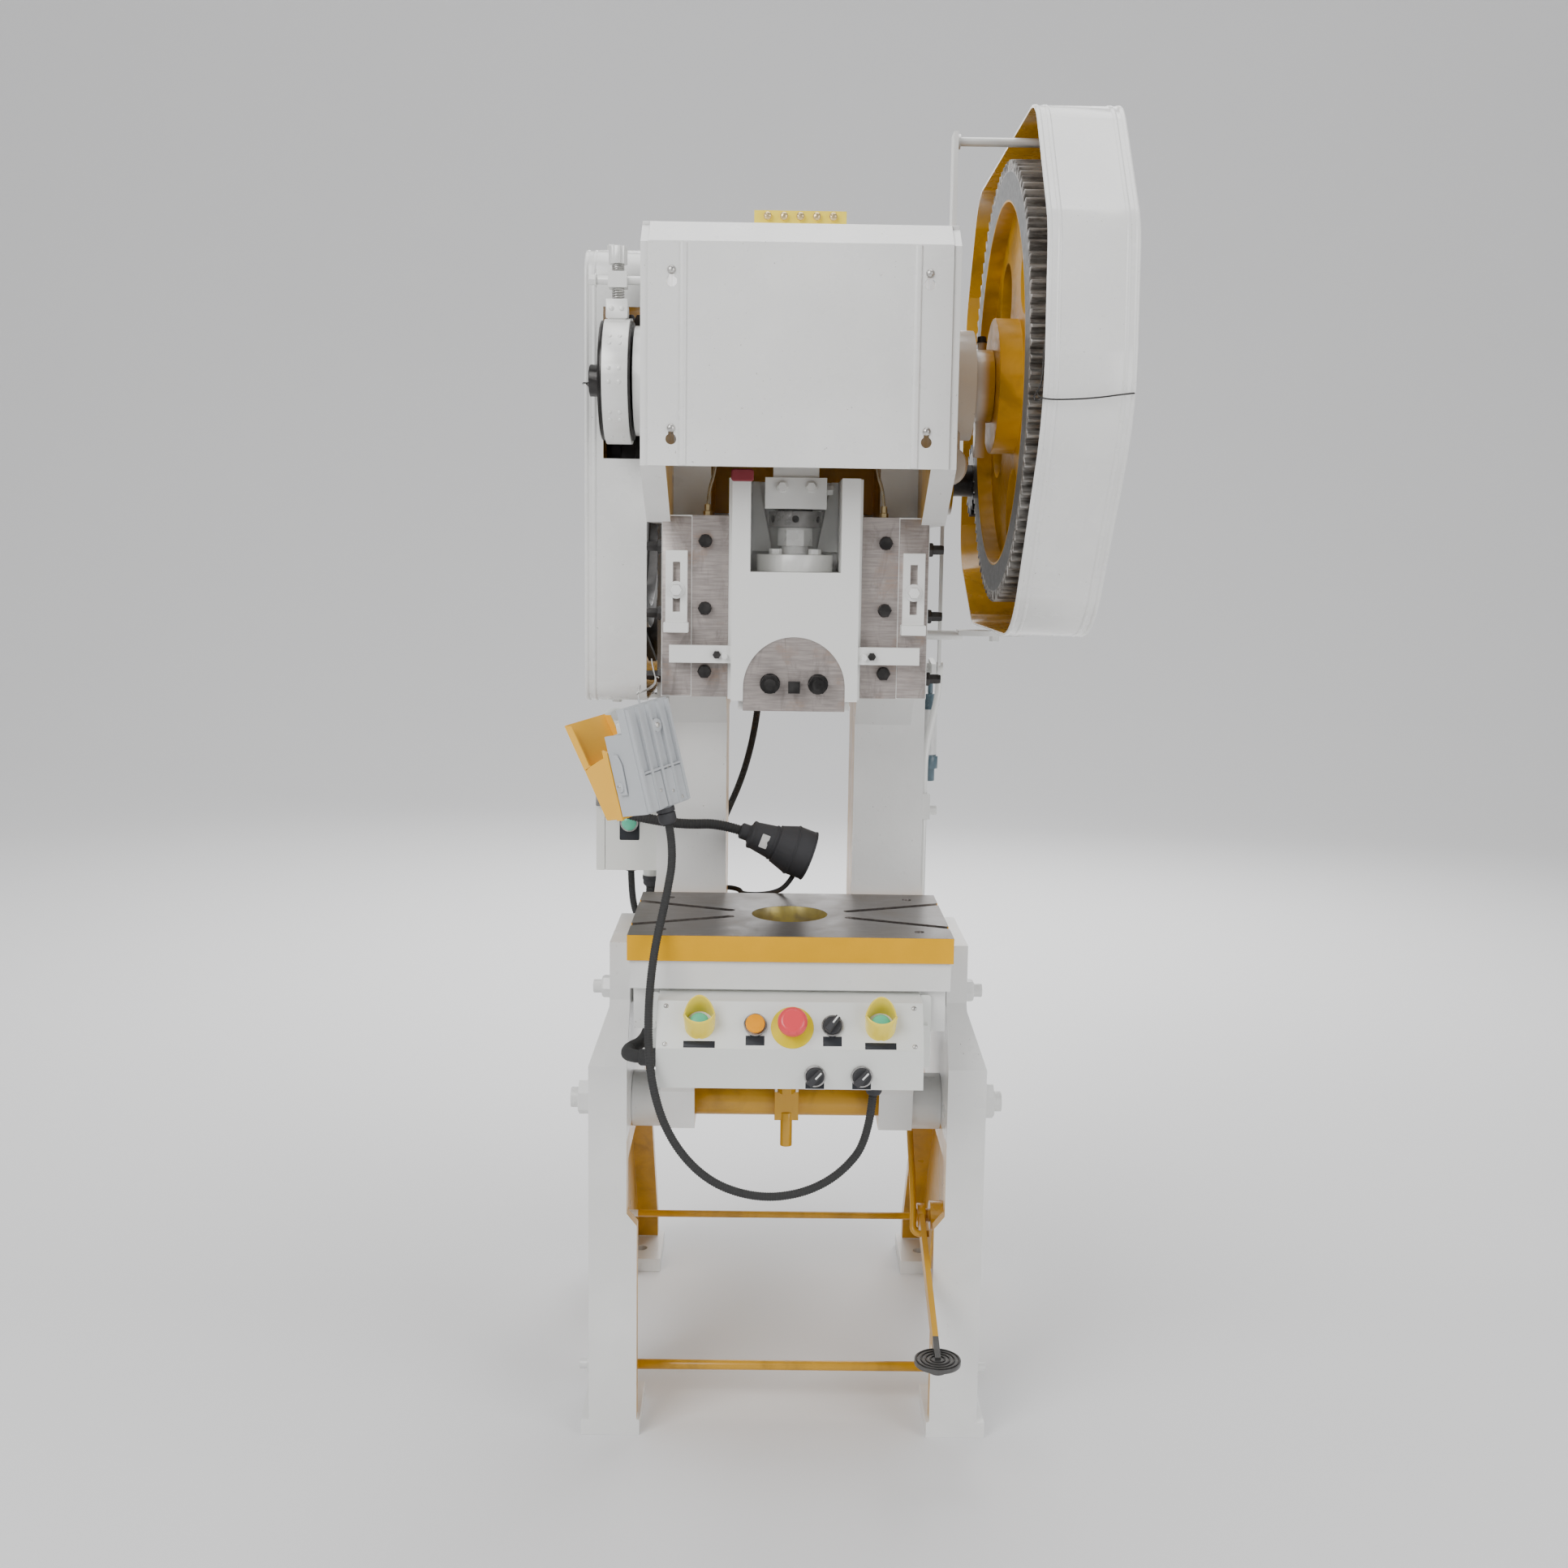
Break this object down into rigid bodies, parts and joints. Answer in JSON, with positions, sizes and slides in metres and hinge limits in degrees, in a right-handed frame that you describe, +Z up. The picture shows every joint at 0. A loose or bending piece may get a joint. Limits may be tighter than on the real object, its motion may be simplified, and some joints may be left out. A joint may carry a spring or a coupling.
{
  "type": "mechanical stamping press",
  "caption": "Open-back inclinable eccentric press on a tilting two-leg stand, with guarded gear and flywheel, slide, bolster, two-hand control box, foot switch and work lamp.",
  "frame": {"origin": "centre of the four anchor holes in the feet, on the floor", "axes": "+Z up, X across the machine with the gear side at +X, the operator stands on the -Y side"},
  "size_m": [0.73, 1.0303, 1.875],
  "materials": {
    "body_paint": "warm grey-white gloss enamel on cast iron and sheet",
    "yellow_paint": "ochre yellow enamel",
    "table_iron": "ground iron with an oil film, yellow painted edges",
    "bare_iron": "machined iron",
    "dark_steel": "blackened steel",
    "gear_iron": "cut teeth with grease, yellow web",
    "motor_paint": "grey motor enamel",
    "brass": "bronze bush",
    "black_rubber": "black corrugated conduit",
    "aluminium": "drawn aluminium with blue-grey end caps",
    "box_paint": "light grey textured enamel",
    "yellow_plastic": "yellow moulding",
    "green_plastic": "green cap",
    "red_plastic": "red cap",
    "black_plastic": "black moulding",
    "grey_plastic": "grey moulding",
    "orange_plastic": "orange hood"
  },
  "bodies": {
    "stand": {"leg_right": "body_paint", "leg_left": "body_paint", "tie_rods": "yellow_paint", "trunnion_shaft": "yellow_paint"},
    "frame": {"press_frame": "body_paint", "bolster": "table_iron", "gibs": "bare_iron", "frame_bolts": "dark_steel", "knockout_stops": "body_paint", "connecting_rod": "body_paint", "crankshaft": "dark_steel", "crank_bushes": "brass", "motor": "motor_paint", "v_belts": "black_rubber", "gear_guard": "body_paint", "belt_guard": "body_paint", "guard_stays": "body_paint", "crown_cover": "body_paint", "crown_lid": "body_paint", "oil_distributor": "yellow_paint", "brake_drum": "dark_steel", "brake_band": "body_paint", "brake_rod": "body_paint", "clutch_collar": "body_paint", "trip_cylinder": "aluminium", "control_box": "box_paint", "palm_guards": "yellow_plastic", "cabinet": "box_paint", "foot_switch_body": "grey_plastic", "foot_switch_hood": "orange_plastic", "lamp_head": "black_plastic", "lamp_arm": "black_plastic", "foot_switch_cable": "black_rubber", "box_conduit": "black_rubber", "rear_cable": "black_rubber", "lamp_lead": "black_rubber"},
    "ram": {"ram": "body_paint", "shank_clamp": "bare_iron", "clamp_studs": "dark_steel", "ball_cap": "body_paint"},
    "screw": {"adjusting_screw": "bare_iron"},
    "bar": {"knockout_bar": "body_paint"},
    "gear": {"gear": "gear_iron"},
    "drive": {"drive_shaft": "gear_iron", "flywheel": "dark_steel"},
    "motor_rotor": {"motor_pulley": "dark_steel"},
    "pedal": {"pedal": "dark_steel"},
    "pull_rod": {"pull_rod": "yellow_paint"},
    "trip_rod": {"trip_rod": "body_paint"},
    "trip_lever": {"trip_lever": "body_paint"},
    "palm_left": {"palm_button_left": "green_plastic"},
    "palm_right": {"palm_button_right": "green_plastic"},
    "start": {"start_button": "yellow_plastic"},
    "stop": {"stop_button": "red_plastic"},
    "mode_knob": {"mode_selector": "black_plastic"},
    "left_knob": {"left_selector": "black_plastic"},
    "right_knob": {"right_selector": "black_plastic"},
    "treadle": {"foot_switch_treadle": "grey_plastic"},
    "door": {"cabinet_door": "box_paint"},
    "brake_knob": {"brake_knob": "body_paint"}
  },
  "joints": [
    {"name": "frame_tilt", "type": "hinge", "parent": "stand", "child": "frame", "pos_m": [0, -0.23, 0.48], "axis": [-1, 0, 0], "range_deg": [0, 30]},
    {"name": "ram_stroke", "type": "slide", "parent": "frame", "child": "ram", "axis": [0, 0, -1], "range_m": [0, 0.07]},
    {"name": "screw_turn", "type": "hinge", "parent": "ram", "child": "screw", "pos_m": [0, -0.29, 1.276], "axis": [0, 0, 1], "range_deg": [-180, 180]},
    {"name": "knockout_rise", "type": "slide", "parent": "ram", "child": "bar", "axis": [0, 0, 1], "range_m": [0, 0.015]},
    {"name": "gear_spin", "type": "hinge", "parent": "frame", "child": "gear", "pos_m": [0.3, -0.29, 1.537], "axis": [1, 0, 0], "continuous": true},
    {"name": "drive_spin", "type": "hinge", "parent": "frame", "child": "drive", "pos_m": [0, 0.03456, 1.42], "axis": [1, 0, 0], "continuous": true},
    {"name": "motor_spin", "type": "hinge", "parent": "frame", "child": "motor_rotor", "pos_m": [-0.25, 0.285, 1.165], "axis": [1, 0, 0], "continuous": true},
    {"name": "pedal_press", "type": "hinge", "parent": "stand", "child": "pedal", "pos_m": [0.209, -0.23, 0.298], "axis": [1, 0, 0], "range_deg": [0, 8]},
    {"name": "pull_rod_slide", "type": "slide", "parent": "stand", "child": "pull_rod", "axis": [0, 0.3854, -0.9227], "range_m": [0, 0.0059]},
    {"name": "trip_rod_slide", "type": "slide", "parent": "frame", "child": "trip_rod", "axis": [0, 0, -1], "range_m": [0, 0.0056]},
    {"name": "trip_lever_turn", "type": "hinge", "parent": "frame", "child": "trip_lever", "pos_m": [0.222, -0.028, 1.125], "axis": [1, 0, 0], "range_deg": [0, 6.83]},
    {"name": "palm_left_press", "type": "slide", "parent": "frame", "child": "palm_left", "axis": [0, 0.8522, -0.5233], "range_m": [0, 0.005]},
    {"name": "palm_right_press", "type": "slide", "parent": "frame", "child": "palm_right", "axis": [0, 0.8522, -0.5233], "range_m": [0, 0.005]},
    {"name": "start_press", "type": "slide", "parent": "frame", "child": "start", "axis": [0, 0.8522, -0.5233], "range_m": [0, 0.004]},
    {"name": "stop_press", "type": "slide", "parent": "frame", "child": "stop", "axis": [0, 0.8522, -0.5233], "range_m": [0, 0.006]},
    {"name": "mode_turn", "type": "hinge", "parent": "frame", "child": "mode_knob", "pos_m": [0.057, -0.4975, 0.6705], "axis": [0, -0.8522, 0.5233], "range_deg": [-45, 45]},
    {"name": "left_turn", "type": "hinge", "parent": "frame", "child": "left_knob", "pos_m": [0.034, -0.515, 0.607], "axis": [0, -1, 0], "range_deg": [-45, 45]},
    {"name": "right_turn", "type": "hinge", "parent": "frame", "child": "right_knob", "pos_m": [0.097, -0.515, 0.607], "axis": [0, -1, 0], "range_deg": [-45, 45]},
    {"name": "treadle_press", "type": "hinge", "parent": "frame", "child": "treadle", "pos_m": [-0.19743, -0.40514, 0.96209], "axis": [0.6263, 0.766, 0.1446], "range_deg": [0, 8]},
    {"name": "door_swing", "type": "hinge", "parent": "frame", "child": "door", "pos_m": [-0.293, 0.118, 0.922], "axis": [0, 0, -1], "range_deg": [0, 110]},
    {"name": "brake_knob_turn", "type": "hinge", "parent": "frame", "child": "brake_knob", "pos_m": [-0.249, -0.308, 1.704], "axis": [0, 0, 1], "range_deg": [-180, 180]}
  ],
  "couplings": [
    {"joint": "drive_spin", "follows": "gear_spin", "ratio": -5.7647},
    {"joint": "motor_spin", "follows": "gear_spin", "ratio": -28.824},
    {"joint": "pull_rod_slide", "follows": "pedal_press", "m_per_rad": 0.042188},
    {"joint": "trip_rod_slide", "follows": "pedal_press", "m_per_rad": 0.04},
    {"joint": "trip_lever_turn", "follows": "pedal_press", "ratio": 0.85106}
  ]
}
